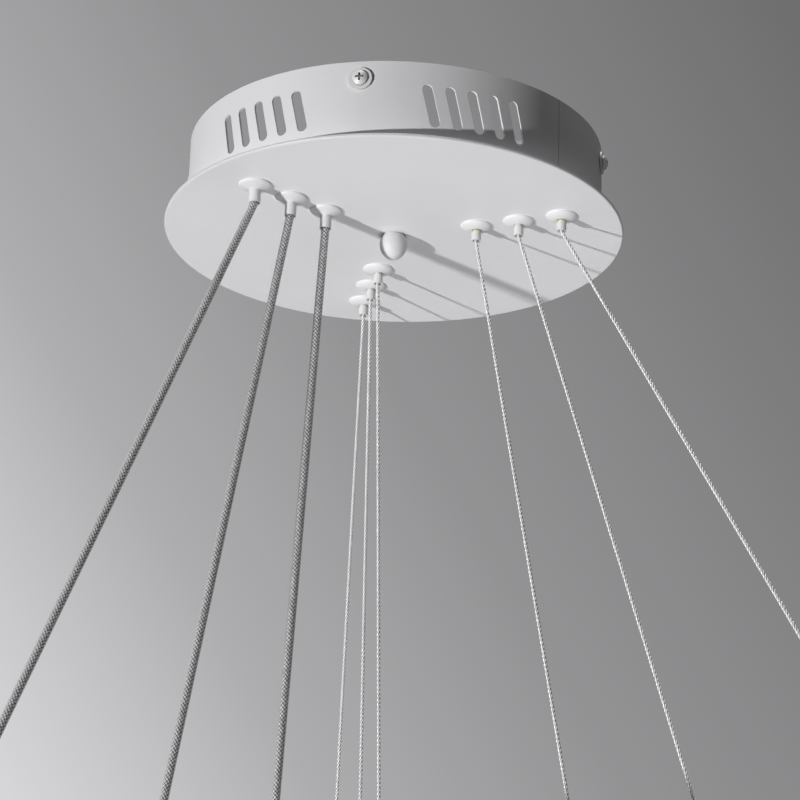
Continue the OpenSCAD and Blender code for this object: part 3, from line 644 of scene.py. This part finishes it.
# Heights in metres: the coat starts at the gap's foot where brass shows, and above it elsewhere
COAT_BELOW_GAP = -0.05252
COAT_OVER_NECK = -0.0500
half_coated = plunger_material("plunger brass and coating", COAT_BELOW_GAP)
neck_coated = plunger_material("plunger with a coated neck", COAT_OVER_NECK)
BRASS_SHOWN = ("plunger_outer_a", "plunger_inner_a")
OWN_FINISHES = {"gripper_covers": cover_plastic, "base_plate": plate_coat_with_edge_shade, "dome_nut": nut_coat}
slots = {part["node"]: part["material_slot"] for part in frame["record"]["subparts"]}
for name, node in frame["nodes"].items():
    finish = OWN_FINISHES.get(name, FINISHES[slots[name]])
    if name.startswith("plunger"):
        finish = half_coated if name in BRASS_SHOWN else neck_coated
    if not node.material_slots:
        node.data.materials.append(finish)
    for place in node.material_slots:
        place.link = "OBJECT"
        place.material = finish

# ---------------------------------------------------------------- studio

LIT_PLACE = Vector((0, 0, -0.0485))
KEY_AZIMUTH = -126.5
KEY_ELEVATION = -25.5
FROM_BELOW = (0.05, 0, -1)
SUN_SPREAD = math.radians(10)
FLOOR_SIZE = 200.0
FLOOR_HEIGHT = -6.5
FLOOR_CELLS = 8
FLOOR_TONE = (0.86, 0.86, 0.87)
FLOOR_BOUNCE = 0.03


def toward(azimuth, elevation):
    """The direction at an azimuth and an elevation in degrees."""
    a, e = math.radians(azimuth), math.radians(elevation)
    return (math.cos(a) * math.cos(e), math.sin(a) * math.cos(e), math.sin(e))


def add_light(name, direction, distance, size, power):
    """A round soft light that stands in a direction from the base plate and shines on it."""
    data = bpy.data.lights.new(name, "AREA")
    data.shape = "DISK"
    data.size = size
    data.energy = power
    light = bpy.data.objects.new(name, data)
    bpy.context.scene.collection.objects.link(light)
    direction = Vector(direction).normalized()
    light.location = LIT_PLACE + distance * direction
    light.rotation_euler = direction.to_track_quat("Z", "Y").to_euler()
    light.visible_camera = False


def add_sun(name, strength, spread):
    """An even light from straight above."""
    data = bpy.data.lights.new(name, "SUN")
    data.energy = strength
    data.angle = spread
    bpy.context.scene.collection.objects.link(bpy.data.objects.new(name, data))


def add_floor():
    """A plain floor: pale to the camera, dark to other rays, so it sends little light up."""
    mesh = bpy.data.meshes.new("floor")
    row = FLOOR_CELLS + 1
    places = [FLOOR_SIZE * (i / FLOOR_CELLS - 0.5) for i in range(row)]
    verts = [(x, y, FLOOR_HEIGHT) for y in places for x in places]
    faces = [
        (j * row + i, j * row + i + 1, (j + 1) * row + i + 1, (j + 1) * row + i)
        for j in range(FLOOR_CELLS) for i in range(FLOOR_CELLS)
    ]
    mesh.from_pydata(verts, [], faces)
    floor = bpy.data.objects.new("floor", mesh)
    bpy.context.scene.collection.objects.link(floor)
    s = Surface("floor", Roughness=0.9)
    pale = s.ramp(s.noise(3, detail=4), shades(FLOOR_TONE, 0.01))
    seen = s.node("ShaderNodeLightPath").outputs["Is Camera Ray"]
    s.colour(s.mix(seen, grey(FLOOR_BOUNCE), pale))
    mesh.materials.append(s.done())


add_light("key", toward(KEY_AZIMUTH, KEY_ELEVATION), distance=4.0, size=0.14, power=139)
add_light("fill_from_below", FROM_BELOW, distance=3.0, size=2.6, power=51)
add_sun("light_from_above", strength=1.5, spread=SUN_SPREAD)
add_floor()

# Stops are (place across the view, grey). Angles are from the photograph's view.
BACKDROP_TURN = math.radians(30)
BACKDROP_SCALE = 2.5
BACKDROP_STOPS = [(0.065, 0.157), (0.28, 0.222), (0.5, 0.291), (0.72, 0.417), (0.935, 0.672)]
BACKDROP_BLUE = 1.022
BACKDROP_ELSEWHERE = 0.58
BACKDROP_WHOLE = math.radians(28)
BACKDROP_GONE = math.radians(60)
WORLD_FILL = 0.03


def add_world(fill):
    """An even fill light, and a backdrop that the camera, gloss and glass see.

    Near the photograph's view the backdrop darkens up and to the right. Elsewhere it is plain.
    """
    world = bpy.data.worlds.new("world")
    bpy.context.scene.world = world
    world.use_nodes = True
    tree = world.node_tree
    nodes, links = tree.nodes, tree.links
    back = nodes["Background"]
    output = nodes["World Output"]
    direction = nodes.new("ShaderNodeTexCoord").outputs["Generated"]

    def dot(vector):
        made = nodes.new("ShaderNodeVectorMath")
        made.operation = "DOT_PRODUCT"
        links.new(direction, made.inputs[0])
        made.inputs[1].default_value = vector
        return made.outputs["Value"]

    def combine(operation, a, b):
        made = nodes.new("ShaderNodeMath")
        made.operation = operation
        for socket, value in zip(made.inputs, (a, b)):
            if isinstance(value, float):
                socket.default_value = value
            else:
                links.new(value, socket)
        return made.outputs[0]

    across = combine("MULTIPLY", dot(camera_right), -math.cos(BACKDROP_TURN))
    down = combine("MULTIPLY", dot(camera_up), -math.sin(BACKDROP_TURN))
    slope = combine("MULTIPLY", combine("ADD", across, down), BACKDROP_SCALE)
    place = combine("ADD", slope, 0.5)
    ramp = nodes.new("ShaderNodeValToRGB")
    elements = ramp.color_ramp.elements
    while len(elements) < len(BACKDROP_STOPS):
        elements.new(0.5)
    for element, (at, tone) in zip(elements, BACKDROP_STOPS):
        element.position = at
        element.color = (tone, tone, tone * BACKDROP_BLUE, 1)
    links.new(place, ramp.inputs["Fac"])
    away = nodes.new("ShaderNodeMapRange")
    away.interpolation_type = "SMOOTHSTEP"
    away.inputs["From Min"].default_value = math.cos(BACKDROP_WHOLE)
    away.inputs["From Max"].default_value = math.cos(BACKDROP_GONE)
    links.new(dot(camera_right.cross(camera_up) * -1), away.inputs["Value"])
    shown = nodes.new("ShaderNodeMix")
    shown.data_type = "RGBA"
    links.new(away.outputs["Result"], shown.inputs["Factor"])
    links.new(ramp.outputs["Color"], shown.inputs["A"])
    shown.inputs["B"].default_value = (*grey(BACKDROP_ELSEWHERE), 1)
    rays = nodes.new("ShaderNodeLightPath")
    seen = combine("MAXIMUM", rays.outputs["Is Camera Ray"], rays.outputs["Is Glossy Ray"])
    seen = combine("MAXIMUM", seen, rays.outputs["Is Transmission Ray"])
    plain = nodes.new("ShaderNodeBackground")
    plain.inputs["Color"].default_value = (*grey(fill), 1)
    links.new(shown.outputs["Result"], back.inputs["Color"])
    blend = nodes.new("ShaderNodeMixShader")
    links.new(seen, blend.inputs["Fac"])
    links.new(plain.outputs[0], blend.inputs[1])
    links.new(back.outputs[0], blend.inputs[2])
    links.new(blend.outputs[0], output.inputs["Surface"])


add_world(WORLD_FILL)
bpy.context.scene.view_settings.view_transform = "Standard"
